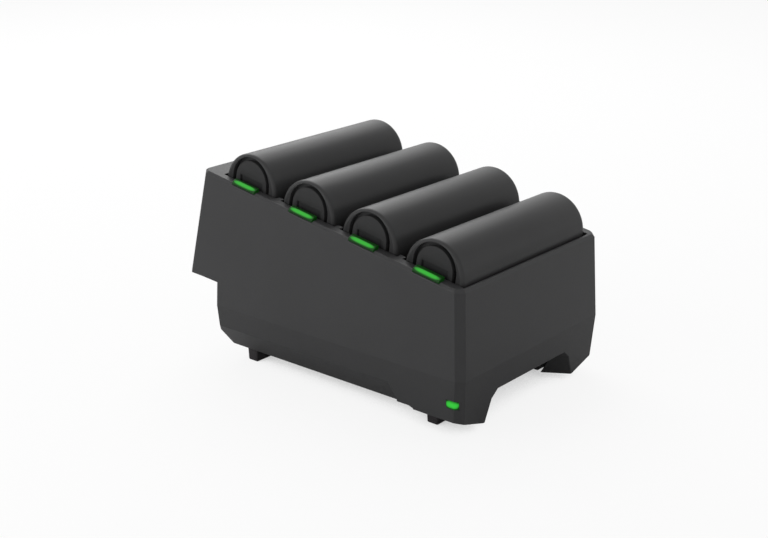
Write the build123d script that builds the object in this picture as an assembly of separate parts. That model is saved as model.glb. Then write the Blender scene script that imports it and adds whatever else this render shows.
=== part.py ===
from build123d import *
from math import cos, radians, sin, tan
import os

# Four-bay battery charger with four cylindrical packs, in millimetres.
# X runs along the row of bays and points to the low end, where the deck is lowest.
# Y runs along the packs, with the light-bar side at -Y, and Z is up.
# The origin is on the floor, under the middle of the charger's outline.

# Body outline
SIDE_MARGIN = 6.5          # pack's end to the long wall at the seam
OVERHANG_REACH = 15.5      # how far the high end leans out past the lower body
SEAM_HEIGHT = 25.8         # floor to the joint between the two housings
LOW_RIM_HEIGHT = 61.2      # floor to the deck's rim at the low end
DECK_TILT = 9.7            # fall of the deck towards the low end, degrees
LOW_END_DRAFT = 3.0        # lean of the low end wall, degrees
SIDE_DRAFT = 1.9           # lean of the two long walls and of the inner high end wall
OVERHANG_LEAN = 12.3       # lean of the outer high end wall, degrees
OVERHANG_HEIGHT = 37.4     # floor to the outer lower edge of the overhang
OVERHANG_FALL = 0.8        # how much lower the overhang's inner edge lies
BASE_DRAFT = 3.8           # inward lean of the walls below the seam, degrees
WALL = 2.4                 # housing wall
CORNER_BEVEL = 3.0         # bevel on the upright corners
INNER_BEVEL = 1.5          # the same bevels inside
RIM_BEVEL = 1.0            # bevel round the deck

# Packs and bays
BAY_COUNT = 4
BAY_PITCH = 32.5           # along the tilted deck
PACK_RADIUS = 14.1
PACK_LENGTH = 84.6
PACK_SINK = 0.9            # pack axis below the deck's surface
PACK_NEAR_ROUND = 2.2      # rounding of the pack's end at the light bars
PACK_FAR_ROUND = 3.0
LIFT_ROOM = 30.0           # height kept free over each bay
LOW_MARGIN = 17.1          # deck rim at the low end to the first pack's axis
HIGH_MARGIN = 19.4         # last pack's axis to the lower high end wall, roughly
BAY_GAP = 0.8              # pack to bay wall, all round
BAY_END_GAP = 0.4          # pack end to bay end wall
BAY_WALL = 1.8             # floor of each bay
BAY_END_WALL = 1.0
CRADLE_GAP = 0.3           # pack to the cradle ribs that it rests on
CRADLE_RIB = 2.4           # thickness of a cradle rib
CRADLE_SPREAD = 32.0       # cradle ribs from the middle of the bay
CRADLE_HALF_WIDTH = 10.0   # half the width of a cradle rib
RIDGE_DROP = 5.5           # ridges between bays, below the deck
RIDGE_END = 2.4            # full-height stretch of a ridge past each bay's end
RIDGE_HALF_WIDTH = 3.0     # half the width of the bar under a ridge

# Pack end with its arched groove and thumb pocket
GROOVE_RISE = 3.0          # centre of the arched groove above the pack's axis
GROOVE_RADIUS = 9.5        # middle of the groove
GROOVE_WIDTH = 1.7
GROOVE_DEPTH = 1.6
GROOVE_FOOT = 6.0          # groove's lower ends below its centre
POCKET_HALF_WIDTH = 7.4    # thumb pocket between the groove's ends
POCKET_TOP = 1.0           # flat upper edge of the pocket above the groove's centre
POCKET_FOOT = 13.0         # pocket's lower end below the groove's centre
POCKET_DEPTH = 2.1

# Contacts
CONTACT_Y = 18.0           # contacts from the middle of the bay, towards +Y
CONTACT_COUNT = 4
CONTACT_PITCH = 2.5
CONTACT_FLAT = 13.0        # pack axis to the flat that holds the pads
CONTACT_FLAT_LENGTH = 9.0
PAD_WIDTH = 1.7
PAD_LENGTH = 6.0
PAD_THICKNESS = 0.4
PAD_GAP = 0.3              # pad to the spring below it
BLOCK_LENGTH = 11.0        # contact block along Y
BLOCK_EDGE = 0.75          # block past its outer springs
BLOCK_GAP = 0.3            # contact block to its window
SPRING_RISE = 1.0          # spring's top above its block
SPRING_CROWN = 0.9         # half the length of its level top
SPRING_WIDTH = 1.2
SPRING_THICKNESS = 0.3
SPRING_LENGTH = 5.0

# Charging board under the bays
CHARGE_BOARD_DROP = 22.5   # deck surface to the top of the board
BOARD_THICKNESS = 1.6
CHARGE_BOARD_GAP = 5.8     # board's edge to the long walls at the seam
CHARGE_BOARD_EDGE = 9.0    # board past the outer packs' axes
STANDOFF_RADIUS = 3.0
STANDOFF_Y = 30.0
BOARD_SCREW_RADIUS = 1.2
BOARD_SCREW_LENGTH = 5.6
BOARD_SCREW_HEAD_RADIUS = 2.3
BOARD_SCREW_HEAD_HEIGHT = 1.5
SCREW_GAP = 0.05           # screw thread to its pilot hole
HOLE_GAP = 0.2             # screw to the clearance hole that it passes
POST_GAP = 0.5             # post to the hole in a board
CHIP_SIZE = 7.0
CHIP_HEIGHT = 1.2
CHIP_Y = -8.0

# Lights
BAR_LENGTH = 13.0          # green light bar along the rim
BAR_RISE = 1.4             # above the deck
BAR_SET_BACK = 0.3         # bar's front behind the wall of the light side
BAR_FRONT = 0.4            # upright part of the bar's front, above the deck
BAR_SKIRT = 0.6            # bar's lower edge below the deck
BAR_SLOPE = 1.5            # how far the sloped front runs back
BAR_GAP = 0.1              # light bar and its pipe to their slot
PIPE_THICKNESS = 1.2
PIPE_ROOM = 0.3            # pipe to the bay's end wall
PIPE_WIDTH = 7.0
PIPE_FOOT = 5.4            # foot that turns in over the lamp
LAMP_SIZE = 2.0
LAMP_HEIGHT = 1.0
LAMP_GAP = 0.2             # lamp to its light pipe
POWER_LIGHT_HEIGHT = 15.6  # floor to the middle of the power light
POWER_LIGHT_WIDTH = 4.9
POWER_LIGHT_INSET = 1.7    # low end to the edge of the power light
POWER_LIGHT_TALL = 3.2
POWER_LIGHT_PROUD = 0.3    # how far it stands out of the wall
POWER_PIPE_WIDTH = 2.6
POWER_PIPE_DEPTH = 10.5    # pipe in from the long wall to past its lamp

# Base
BASE_CLEARANCE = 5.8       # floor to the flat underside
BAND_TOP = 16.4            # floor to the top of the undercut band
BAND_INSET = 6.9           # how far the band cuts in at the underside
HIGH_BAND_TOP = 19.0       # the same two for the undercut at the high end
HIGH_BAND_INSET = 2.5
LEG_LENGTH = 24.0          # low end legs along X
LEG_STEP_LENGTH = 4.0      # level and slanted part of the step behind each leg
LEG_STEP_HEIGHT = 9.8      # floor to that step
LEG_SLOPE_LENGTH = 3.8     # slanted end of the undercut band
LEG_SIDE_HEIGHT = 8.5      # floor to the leg's outer lower edge
LEG_TIP_INSET = 17.1       # leg tip from the outer wall
LEG_TIP_HEIGHT = 3.1
LEG_BACK = 1.0             # rear face of the leg, from step to tip along X
ARCH_HEIGHT = 15.5         # floor to the top of the cable arch
ARCH_SHOULDER = 12.3       # floor to where the arch's flanks turn in
ARCH_SHOULDER_INSET = 20.9
ARCH_TOP_INSET = 24.9
ARCH_DEPTH = 30.0          # how far the arch runs in from the low end
FUNNEL_DEPTH = 15.0        # splayed mouth of the arch
FUNNEL_STEP = 9.4          # how much narrower the mouth gets, each side
CHAMBER_FRONT = 14.3       # low end to the leg's rear edge, at the floor
CHAMBER_LEAN = 0.6         # how far that edge comes forward for each millimetre up
CHAMBER_FRONT_TOP = 10.3   # height from which that edge goes straight up
CHAMBER_HALF_WIDTH = 29.2  # room behind the legs, to each side
FOOT_LENGTH = 6.0          # along X
FOOT_WIDTH = 9.5           # along Y
FOOT_SINK = 1.0            # foot in its pocket
FOOT_TAPER = 3.0
FOOT_ROUND = 1.0
FOOT_SIDE_INSET = 13.7     # foot centre from the outer wall
FOOT_LOW_INSET = 20.6      # foot centre from the low end
FOOT_HIGH_INSET = 14.4     # foot centre from the lower high end wall
LIP_HEIGHT = 1.6           # lip of the lower housing inside the upper one
LIP_THICKNESS = 1.0
LIP_GAP = 0.3
LIP_ROOT = 1.2             # shoulder below the seam that carries the lip
LIP_BEVEL = 2.5

# Housing screws
POST_RADIUS = 4.4
SCREW_SIDE_INSET = 12.5
SCREW_LOW_STEP = 7.0       # from the axis of the last bay but one towards the low end
SCREW_HIGH_STEP = 11.5     # from the first bay's axis towards the low end
SCREW_RADIUS = 1.5
SCREW_LENGTH = 18.0
SCREW_HEAD_RADIUS = 2.8
SCREW_HEAD_HEIGHT = 2.0
COUNTERBORE_RADIUS = 3.3
SCREW_SEAT = 13.0          # floor to the screw head's seat
DRIVE_DEPTH = 1.0
DRIVE_WIDTH = 0.8
PILOT_SPARE = 0.5          # pilot hole past the screw's end

# Power board and what stands on it
POWER_BOARD_LIFT = 2.6     # board above the inner floor
POWER_BOARD_GAP = 1.5      # board to the housing walls
POWER_ARM_GAP = 0.5        # arm of the board to the walls of the cable arch
POWER_TIP_WIDTH = 6.5      # the arm's end beside the splayed mouth
POWER_ARM_INSET = 5.5      # end of that arm from the low end
COIL_RADIUS = 6.0
COIL_HEIGHT = 6.0
COIL_HOLE = 2.0
COIL_Y = -14.0
COIL_PITCH = 17.0
RIBBON_X = -10.0
RIBBON_Y = 8.0
RIBBON_WIDTH = 20.0
RIBBON_THICKNESS = 1.2
RIBBON_FOLD = 5.0          # how far the folded cable strays to each side
PLUG_HEIGHT = 5.0
PLUG_THICKNESS = 4.0
PLUG_OVERHANG = 1.5        # plug past each edge of the cable

# Power inlet in the lower high end wall
JACK_Y = 24.0
JACK_BARREL_RADIUS = 4.2
JACK_BORE_RADIUS = 2.8
JACK_BORE_DEPTH = 9.0
JACK_PIN_RADIUS = 1.0
JACK_PIN_LENGTH = 8.0
JACK_BODY_WIDTH = 9.0
JACK_BODY_HEIGHT = 11.0
JACK_BODY_LENGTH = 12.0
JACK_RECESS = 1.3          # barrel's end behind the wall's outer face
JACK_GAP = 0.1

# Places worked out from the sizes above
BODY_DEPTH = PACK_LENGTH + 2 * SIDE_MARGIN
BODY_LENGTH = LOW_MARGIN + (BAY_COUNT - 1) * BAY_PITCH + HIGH_MARGIN
X_LOW = (BODY_LENGTH + OVERHANG_REACH) / 2
X_HIGH = X_LOW - BODY_LENGTH
X_OUT = X_HIGH - OVERHANG_REACH
HALF = BODY_DEPTH / 2
RIM_X = X_LOW - (LOW_RIM_HEIGHT - SEAM_HEIGHT) * tan(radians(LOW_END_DRAFT))
TILT = radians(DECK_TILT)
BAY_RADIUS = PACK_RADIUS + BAY_GAP
BAY_LENGTH = PACK_LENGTH + 2 * BAY_END_GAP
FLOOR_Z = BASE_CLEARANCE + WALL
POWER_BOTTOM = FLOOR_Z + POWER_BOARD_LIFT
POWER_TOP = POWER_BOTTOM + BOARD_THICKNESS
CHARGE_TOP = -CHARGE_BOARD_DROP
CHARGE_BOTTOM = CHARGE_TOP - BOARD_THICKNESS
PAD_BOTTOM = -PACK_SINK - CONTACT_FLAT - PAD_THICKNESS
BLOCK_TOP = PAD_BOTTOM - PAD_GAP - SPRING_RISE
BLOCK_HALF_WIDTH = ((CONTACT_COUNT - 1) * CONTACT_PITCH + SPRING_WIDTH) / 2 + BLOCK_EDGE
PIPE_Y = -(BAY_LENGTH / 2 + BAY_END_WALL + PIPE_ROOM)
LAMP_Y = PIPE_Y - PIPE_THICKNESS + PIPE_FOOT - LAMP_SIZE
LAMP_TOP = CHARGE_TOP + LAMP_HEIGHT
JACK_Z = POWER_TOP + JACK_BODY_HEIGHT / 2
BEYOND = 200.0             # reach of a cut that passes right through

# The deck's own frame: along the row, along the packs, and up off the deck
DECK = Plane(
    origin=(RIM_X, 0, LOW_RIM_HEIGHT),
    x_dir=(cos(TILT), 0, -sin(TILT)),
    z_dir=(sin(TILT), 0, cos(TILT)),
)
BAYS = range(1, BAY_COUNT + 1)


def bay_s(number):
    """Middle of a bay along the deck; bay 1 is at the high end."""
    return -(LOW_MARGIN + (BAY_COUNT - number) * BAY_PITCH)


def bay_x(number):
    """Middle of a bay on the floor plan."""
    return RIM_X + bay_s(number) * cos(TILT)


def box_between(low, high):
    """Box from its lowest to its highest corner."""
    size = [b - a for a, b in zip(low, high)]
    middle = [(a + b) / 2 for a, b in zip(low, high)]
    return Pos(*middle) * Box(*size)


def post(x, y, low, high, radius):
    """Upright cylinder between two heights."""
    return Pos(x, y, (low + high) / 2) * Cylinder(radius, high - low)


def across_x(points, x_from, x_to):
    """Outline in Y and Z, carried along X."""
    face = make_face(Polyline(*points, close=True))
    return extrude(Plane.YZ.offset(x_from) * face, amount=x_to - x_from)


def across_y(points, half_width):
    """Outline in X and Z, carried both ways along Y."""
    face = make_face(Polyline(*points, close=True))
    return extrude(Plane.XZ * face, amount=half_width, both=True)


def lean_at(height, upper_draft):
    """How far a wall has leaned in at a height, from its place at the seam."""
    above = height - SEAM_HEIGHT
    return above * tan(radians(upper_draft)) if above > 0 else -above * tan(radians(BASE_DRAFT))


def side_y(height, inset=0.0):
    """Half width of the body at a height."""
    return HALF - lean_at(height, SIDE_DRAFT) - inset


def low_x(height, inset=0.0):
    """Low end wall at a height."""
    return X_LOW - lean_at(height, LOW_END_DRAFT) - inset


def high_x(height, inset=0.0):
    """Lower high end wall at a height."""
    return X_HIGH + lean_at(height, SIDE_DRAFT) + inset


def deck_z(x):
    """Height of the deck over a place on the floor plan."""
    return LOW_RIM_HEIGHT + (RIM_X - x) * tan(TILT)


def bevel_corners(block, size):
    """Bevels the upright corners of a block."""
    return chamfer([e for e in block.edges() if abs((e @ 1 - e @ 0).normalized().Z) > 0.8], size)


# Upper housing: a drafted box with a tilted deck and a high end that leans out

def upper_profile(drop):
    """Side view: low end wall, tilted deck, leaning high end, its underside and the inner wall."""
    lean = tan(radians(OVERHANG_LEAN))
    fall = tan(TILT)
    top_z = (LOW_RIM_HEIGHT + (RIM_X - X_OUT + OVERHANG_HEIGHT * lean) * fall) / (1 + lean * fall)
    inner_z = OVERHANG_HEIGHT - OVERHANG_FALL
    return [
        (X_LOW + drop * tan(radians(LOW_END_DRAFT)), SEAM_HEIGHT - drop),
        (RIM_X, LOW_RIM_HEIGHT),
        (X_OUT + (top_z - OVERHANG_HEIGHT) * lean, top_z),
        (X_OUT, OVERHANG_HEIGHT),
        (high_x(inner_z), inner_z),
        (X_HIGH - drop * tan(radians(SIDE_DRAFT)), SEAM_HEIGHT - drop),
    ]


def upper_walls(inset, drop):
    """End view: the two long walls, leaning in towards the deck."""
    low, high = SEAM_HEIGHT - drop, LOW_RIM_HEIGHT + BODY_LENGTH
    wide = HALF - inset + drop * tan(radians(SIDE_DRAFT))
    narrow = side_y(high, inset)
    return across_x([(-wide, low), (wide, low), (narrow, high), (-narrow, high)], -BEYOND, BEYOND)


def upper_block():
    """Outside form of the upper housing, with its bevels."""
    block = bevel_corners(across_y(upper_profile(0), BODY_DEPTH) & upper_walls(0, 0), CORNER_BEVEL)
    deck = block.faces().sort_by(Axis((0, 0, 0), tuple(DECK.z_dir)))[-1]
    return chamfer(deck.edges(), RIM_BEVEL)


def upper_cavity():
    """Inside of the upper housing, open at the seam."""
    face = make_face(Polyline(*upper_profile(2 * WALL), close=True))
    face = offset(face, amount=-WALL, kind=Kind.INTERSECTION)
    block = extrude(Plane.XZ * face, amount=BODY_DEPTH, both=True) & upper_walls(WALL, 2 * WALL)
    return bevel_corners(block, INNER_BEVEL)


def bay_form(number, radius, length):
    """U-shaped trough round a pack's place, open upwards."""
    tall = Pos(bay_s(number), (LIFT_ROOM - PACK_SINK) / 2) * Rectangle(2 * radius, LIFT_ROOM + PACK_SINK)
    round_floor = Pos(bay_s(number), -PACK_SINK) * Circle(radius)
    return DECK * extrude(Plane.XZ * (round_floor + tall), amount=length / 2, both=True)


def ridge_cut():
    """Lowers the ridges between neighbouring bays, short of the bays' ends."""
    half = BAY_LENGTH / 2 - RIDGE_END
    return DECK * box_between((bay_s(1), -half, -RIDGE_DROP), (bay_s(BAY_COUNT), half, LIFT_ROOM))


def cradle_ribs(number):
    """Two ribs under a pack, hollowed to its curve."""
    s, low = bay_s(number), -PACK_SINK - BAY_RADIUS - BAY_WALL / 2
    ribs = Part()
    for y in (-CRADLE_SPREAD, CRADLE_SPREAD):
        ribs += box_between(
            (s - CRADLE_HALF_WIDTH, y - CRADLE_RIB / 2, low),
            (s + CRADLE_HALF_WIDTH, y + CRADLE_RIB / 2, -PACK_RADIUS / 2))
    floor = bay_form(number, BAY_RADIUS + BAY_WALL / 2, BAY_LENGTH)
    seat = bay_form(number, PACK_RADIUS + CRADLE_GAP, BAY_LENGTH)
    return (DECK * ribs & floor) - seat


def contact_room(number, gap, low, high):
    """Room of a contact block between two heights off the deck."""
    half, length = BLOCK_HALF_WIDTH + gap, BLOCK_LENGTH / 2 + gap
    s = bay_s(number)
    return DECK * box_between((s - half, CONTACT_Y - length, low), (s + half, CONTACT_Y + length, high))


def rim_y(number):
    """The light side's wall at deck height, beside a bay."""
    return -side_y(LOW_RIM_HEIGHT - bay_s(number) * sin(TILT))


def bar_form(number, gap):
    """Light bar on the rim: a prism with a sloped front, its pipe down and the foot over the lamp."""
    s, face_y = bay_s(number), rim_y(number) + BAR_SET_BACK - gap
    back, top = PIPE_Y + gap, BAR_RISE + gap
    low = -BAR_SKIRT - gap
    points = [(face_y, low), (back, low), (back, top), (face_y + BAR_SLOPE, top), (face_y, BAR_FRONT)]
    bar = across_x(points, s - BAR_LENGTH / 2 - gap, s + BAR_LENGTH / 2 + gap)
    half = PIPE_WIDTH / 2 + gap
    outer = PIPE_Y - PIPE_THICKNESS
    foot = LAMP_TOP + LAMP_GAP
    pipe = box_between((s - half, outer - gap, foot), (s + half, PIPE_Y + gap, gap - BAR_SKIRT))
    turn = box_between((s - half, outer - gap, foot), (s + half, outer + PIPE_FOOT, foot + PIPE_THICKNESS))
    return DECK * (bar + pipe + turn)


def charge_standoffs():
    """Places of the charging board's screws on the deck's plan."""
    return [(bay_s(number), y) for number in (1, BAY_COUNT) for y in (-STANDOFF_Y, STANDOFF_Y)]


def housing_screw_places():
    """Places of the four housing screws on the floor plan."""
    y = HALF - SCREW_SIDE_INSET
    rows = (bay_x(BAY_COUNT - 1) + SCREW_LOW_STEP, bay_x(1) + SCREW_HIGH_STEP)
    return [(x, side * y) for x in rows for side in (-1, 1)]


def upper_housing():
    """Shell with the bays, their ribs and windows, the posts and the slots for the light bars."""
    block = upper_block()
    shell = block - upper_cavity()
    frame = Part()
    for number in BAYS:
        frame += bay_form(number, BAY_RADIUS + BAY_WALL, BAY_LENGTH + 2 * BAY_END_WALL)
    for number in BAYS[1:]:
        s, end = bay_s(number) - BAY_PITCH / 2, BAY_LENGTH / 2
        frame += DECK * box_between(
            (s - RIDGE_HALF_WIDTH, -end, -RIDGE_DROP - WALL), (s + RIDGE_HALF_WIDTH, end, -WALL))
    for s, y in charge_standoffs():
        stem = (-PACK_SINK - BAY_RADIUS - CHARGE_TOP) + BAY_WALL / 2
        frame += DECK * Pos(s, y, CHARGE_TOP + stem / 2) * Cylinder(STANDOFF_RADIUS, stem)
    for x, y in housing_screw_places():
        frame += post(x, y, SEAM_HEIGHT, deck_z(x) - RIDGE_DROP - WALL / 2, POST_RADIUS)
    shell += frame & block
    for number in BAYS:
        shell -= bay_form(number, BAY_RADIUS, BAY_LENGTH)
    shell -= ridge_cut()
    for number in BAYS:
        shell += cradle_ribs(number)
    for number in BAYS:
        shell -= contact_room(number, BLOCK_GAP, CHARGE_TOP, -PACK_SINK)
        shell -= bar_form(number, BAR_GAP)
    pilot = BOARD_SCREW_LENGTH - BOARD_THICKNESS + PILOT_SPARE
    for s, y in charge_standoffs():
        shell -= DECK * Pos(s, y, CHARGE_TOP + pilot / 2) * Cylinder(BOARD_SCREW_RADIUS + SCREW_GAP, pilot)
    tip = SCREW_SEAT + SCREW_LENGTH + PILOT_SPARE
    for x, y in housing_screw_places():
        shell -= post(x, y, SEAM_HEIGHT, tip, SCREW_RADIUS + SCREW_GAP)
    return shell


# Lower housing: a tray on low end legs, with undercut long sides and an arch for cables

def lower_outline(grow):
    """Outside walls below the seam, with bevelled corners."""
    tall = SEAM_HEIGHT
    ends = [
        (high_x(0, -grow), 0), (low_x(0, -grow), 0),
        (low_x(tall, -grow), tall), (high_x(tall, -grow), tall)]
    sides = [
        (-side_y(0, -grow), 0), (side_y(0, -grow), 0),
        (side_y(tall, -grow), tall), (-side_y(tall, -grow), tall)]
    return bevel_corners(across_y(ends, BODY_DEPTH) & across_x(sides, -BEYOND, BEYOND), CORNER_BEVEL)


def base_form():
    """Flat underside with its flanks rising to the step, and the two slanted legs."""
    flank = side_y(BASE_CLEARANCE, BAND_INSET)
    step = LEG_STEP_HEIGHT
    under = across_x(
        [(-BEYOND, SEAM_HEIGHT), (-BEYOND, step), (-HALF, step), (-flank, BASE_CLEARANCE),
         (flank, BASE_CLEARANCE), (HALF, step), (BEYOND, step), (BEYOND, SEAM_HEIGHT)], -BEYOND, X_LOW)
    tip = HALF - LEG_TIP_INSET
    legs = across_x(
        [(-HALF, SEAM_HEIGHT), (-HALF, LEG_SIDE_HEIGHT), (-tip, LEG_TIP_HEIGHT),
         (tip, LEG_TIP_HEIGHT), (HALF, LEG_SIDE_HEIGHT), (HALF, SEAM_HEIGHT)],
        X_LOW - LEG_LENGTH - LEG_STEP_LENGTH, X_LOW)
    rear = X_LOW - LEG_LENGTH
    legs &= across_y(
        [(rear - LEG_STEP_LENGTH, LEG_STEP_HEIGHT), (rear, LEG_SIDE_HEIGHT), (rear + LEG_BACK, 0),
         (X_LOW, 0), (X_LOW, SEAM_HEIGHT), (rear - LEG_STEP_LENGTH, SEAM_HEIGHT)], BODY_DEPTH)
    return under + legs


def high_cut(height):
    """How far the undercut takes the high end wall in at a height."""
    share = (HIGH_BAND_TOP - height) / (HIGH_BAND_TOP - BASE_CLEARANCE)
    return HIGH_BAND_INSET * share if share > 0 else 0


def high_undercut():
    """Undercut along the lower high end wall."""
    top, foot = high_x(HIGH_BAND_TOP), high_x(0) + high_cut(0)
    return across_y([(top, HIGH_BAND_TOP), (foot, 0), (-BEYOND, 0), (-BEYOND, HIGH_BAND_TOP)], BODY_DEPTH)


def undercut_band(side):
    """Undercut along one long wall, with a slanted end in front of the leg."""
    top, foot = side_y(BAND_TOP), side_y(BASE_CLEARANCE, BAND_INSET)
    slope = (top - foot) / (BAND_TOP - BASE_CLEARANCE)
    wedge = across_x(
        [(side * top, BAND_TOP), (side * (foot - slope * BASE_CLEARANCE), 0), (side * BODY_DEPTH, 0),
         (side * BODY_DEPTH, BAND_TOP)], -BEYOND, BEYOND)
    end = X_LOW - LEG_LENGTH - 2 * LEG_STEP_LENGTH
    return wedge & across_y(
        [(-BEYOND, 0), (end, 0), (end, LEG_STEP_HEIGHT), (end - LEG_SLOPE_LENGTH, BAND_TOP),
         (-BEYOND, BAND_TOP)], BODY_DEPTH)


def arch_section(x, narrower, grow):
    """Cross-section of the cable arch at one place along X."""
    tip, shoulder, top = (HALF - inset - narrower + grow for inset in (
        LEG_TIP_INSET, ARCH_SHOULDER_INSET, ARCH_TOP_INSET))
    points = [
        (-tip, 0), (-tip, LEG_TIP_HEIGHT), (-shoulder, ARCH_SHOULDER + grow), (-top, ARCH_HEIGHT + grow),
        (top, ARCH_HEIGHT + grow), (shoulder, ARCH_SHOULDER + grow), (tip, LEG_TIP_HEIGHT), (tip, 0)]
    return Plane.YZ.offset(x) * make_face(Polyline(*points, close=True))


def arch_form(grow):
    """Cable arch: a splayed mouth between the legs and a wider chamber behind them."""
    throat = arch_section(X_LOW - FUNNEL_DEPTH - grow, FUNNEL_STEP, grow)
    mouth = arch_section(X_LOW, 0, grow)
    back, top = X_LOW - ARCH_DEPTH - grow, ARCH_HEIGHT + grow
    low_front = X_LOW - CHAMBER_FRONT + grow
    front = low_front + CHAMBER_LEAN * CHAMBER_FRONT_TOP
    chamber = across_y(
        [(back, 0), (low_front, 0), (front, CHAMBER_FRONT_TOP), (front, top), (back, top)],
        CHAMBER_HALF_WIDTH + grow)
    return loft([throat, mouth], ruled=True) + chamber


def high_inner_x(height):
    """Inner face of the lower high end wall at a height."""
    return high_x(height, WALL) + high_cut(height - WALL / 2)


def tray_cavity():
    """Inside of the lower housing: it follows the undercut and stays over the arch."""
    top, foot = side_y(BAND_TOP), side_y(BASE_CLEARANCE, BAND_INSET)
    slope = (top - foot) / (BAND_TOP - BASE_CLEARANCE)
    shift = WALL * (1 + slope ** 2) ** 0.5
    floor = foot + slope * WALL - shift
    bend = top - shift + slope * WALL / 2
    wall = side_y(SEAM_HEIGHT, WALL)
    turn, high_turn = BAND_TOP + WALL / 2, HIGH_BAND_TOP + WALL / 2
    sides = across_x(
        [(-floor, FLOOR_Z), (floor, FLOOR_Z), (bend, turn), (wall, SEAM_HEIGHT), (-wall, SEAM_HEIGHT),
         (-bend, turn)], -BEYOND, BEYOND)
    ends = across_y(
        [(high_inner_x(FLOOR_Z), FLOOR_Z), (low_x(FLOOR_Z, WALL), FLOOR_Z),
         (low_x(SEAM_HEIGHT, WALL), SEAM_HEIGHT), (high_inner_x(SEAM_HEIGHT), SEAM_HEIGHT),
         (high_inner_x(high_turn), high_turn)], BODY_DEPTH)
    return bevel_corners(ends & sides, INNER_BEVEL) - arch_form(WALL)


def lip_ring():
    """Lip that stands up inside the upper housing, on its shoulder below the seam."""
    def ring(outer, inner, low, high):
        size = [(BODY_LENGTH - 2 * inset, BODY_DEPTH - 2 * inset) for inset in (outer, inner)]
        middle = Pos(X_HIGH + BODY_LENGTH / 2, 0, (low + high) / 2)
        block = bevel_corners(Box(*size[0], high - low), LIP_BEVEL)
        return middle * (block - Box(*size[1], high - low))
    inner = WALL + LIP_GAP + LIP_THICKNESS
    shoulder = ring(WALL / 2, inner, SEAM_HEIGHT - LIP_ROOT, SEAM_HEIGHT)
    lip = ring(WALL + LIP_GAP, inner, SEAM_HEIGHT, SEAM_HEIGHT + LIP_HEIGHT)
    return shoulder + lip


def foot_places():
    """Places of the four feet on the floor plan."""
    y = HALF - FOOT_SIDE_INSET
    return [(x, side * y) for x in (X_LOW - FOOT_LOW_INSET, X_HIGH + FOOT_HIGH_INSET) for side in (-1, 1)]


def foot():
    """Rubber foot from the floor up into its pocket, a little narrower at the floor."""
    height = BASE_CLEARANCE + FOOT_SINK
    top = Plane((0, 0, height), z_dir=(0, 0, -1)) * RectangleRounded(FOOT_LENGTH, FOOT_WIDTH, FOOT_ROUND)
    return extrude(top, amount=height, taper=FOOT_TAPER)


def power_light_front(grow, gap):
    """Front of the power light: a strip that follows the long wall and half of the corner's bevel."""
    x_to = low_x(POWER_LIGHT_HEIGHT, POWER_LIGHT_INSET) + gap
    half = POWER_LIGHT_TALL / 2 + gap
    window = box_between(
        (x_to - POWER_LIGHT_WIDTH - 2 * gap, -BODY_DEPTH, POWER_LIGHT_HEIGHT - half),
        (x_to, 2 * WALL - side_y(POWER_LIGHT_HEIGHT), POWER_LIGHT_HEIGHT + half))
    return (lower_outline(grow) - lower_outline(-WALL)) & window


def power_light_pipe(gap):
    """Pipe from the power light's front to over its lamp."""
    x_to = low_x(POWER_LIGHT_HEIGHT, POWER_LIGHT_INSET) - POWER_LIGHT_WIDTH + POWER_PIPE_WIDTH + gap
    y_from = -side_y(POWER_LIGHT_HEIGHT, WALL) - WALL / 2
    top = POWER_LIGHT_HEIGHT + POWER_LIGHT_TALL / 2 + gap
    return box_between(
        (x_to - POWER_PIPE_WIDTH - 2 * gap, y_from, POWER_TOP + LAMP_HEIGHT + LAMP_GAP - gap),
        (x_to, y_from + POWER_PIPE_DEPTH, top))


def power_light():
    """Clear green light that wraps the corner, with its pipe."""
    return power_light_front(POWER_LIGHT_PROUD, 0) + power_light_pipe(0)


def power_lamp_place():
    """Middle of the lamp under the power light's pipe, on the floor plan."""
    x = low_x(POWER_LIGHT_HEIGHT, POWER_LIGHT_INSET) - POWER_LIGHT_WIDTH + POWER_PIPE_WIDTH / 2
    return x, -side_y(POWER_LIGHT_HEIGHT, WALL) - WALL / 2 + POWER_PIPE_DEPTH - LAMP_SIZE


def lower_housing():
    """Tray with legs, arch, posts, foot pockets, the power light's window and the inlet's hole."""
    block = lower_outline(0) & base_form()
    for side in (-1, 1):
        block -= undercut_band(side)
    block -= high_undercut()
    block -= arch_form(0)
    shell = block - tray_cavity()
    shell += lip_ring() & (lower_outline(0) + lip_clearance())
    for x, y in housing_screw_places():
        shell += post(x, y, FLOOR_Z - WALL / 2, SEAM_HEIGHT, POST_RADIUS)
    for x, y in board_support_places():
        shell += post(x, y, FLOOR_Z - WALL / 2, POWER_BOTTOM, STANDOFF_RADIUS)
    for x, y in housing_screw_places():
        shell -= post(x, y, 0, SCREW_SEAT, COUNTERBORE_RADIUS)
        shell -= post(x, y, SCREW_SEAT, SEAM_HEIGHT, SCREW_RADIUS + HOLE_GAP)
    for x, y in board_support_places():
        low = POWER_TOP - BOARD_SCREW_LENGTH - PILOT_SPARE / 2
        shell -= post(x, y, low, POWER_BOTTOM, BOARD_SCREW_RADIUS + SCREW_GAP)
    for x, y in foot_places():
        shell -= Pos(x, y, 0) * foot()
    shell -= power_light_front(BAR_GAP, BAR_GAP) + (power_light_pipe(BAR_GAP) - tray_cavity())
    hole = Plane((X_HIGH - WALL, JACK_Y, JACK_Z), z_dir=(1, 0, 0)) * Circle(JACK_BARREL_RADIUS + JACK_GAP)
    return shell - extrude(hole, amount=3 * WALL)


def lip_clearance():
    """Room above the seam that the lip may use."""
    return box_between((X_HIGH, -HALF, SEAM_HEIGHT), (X_LOW, HALF, SEAM_HEIGHT + LIP_HEIGHT))


# Packs

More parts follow.
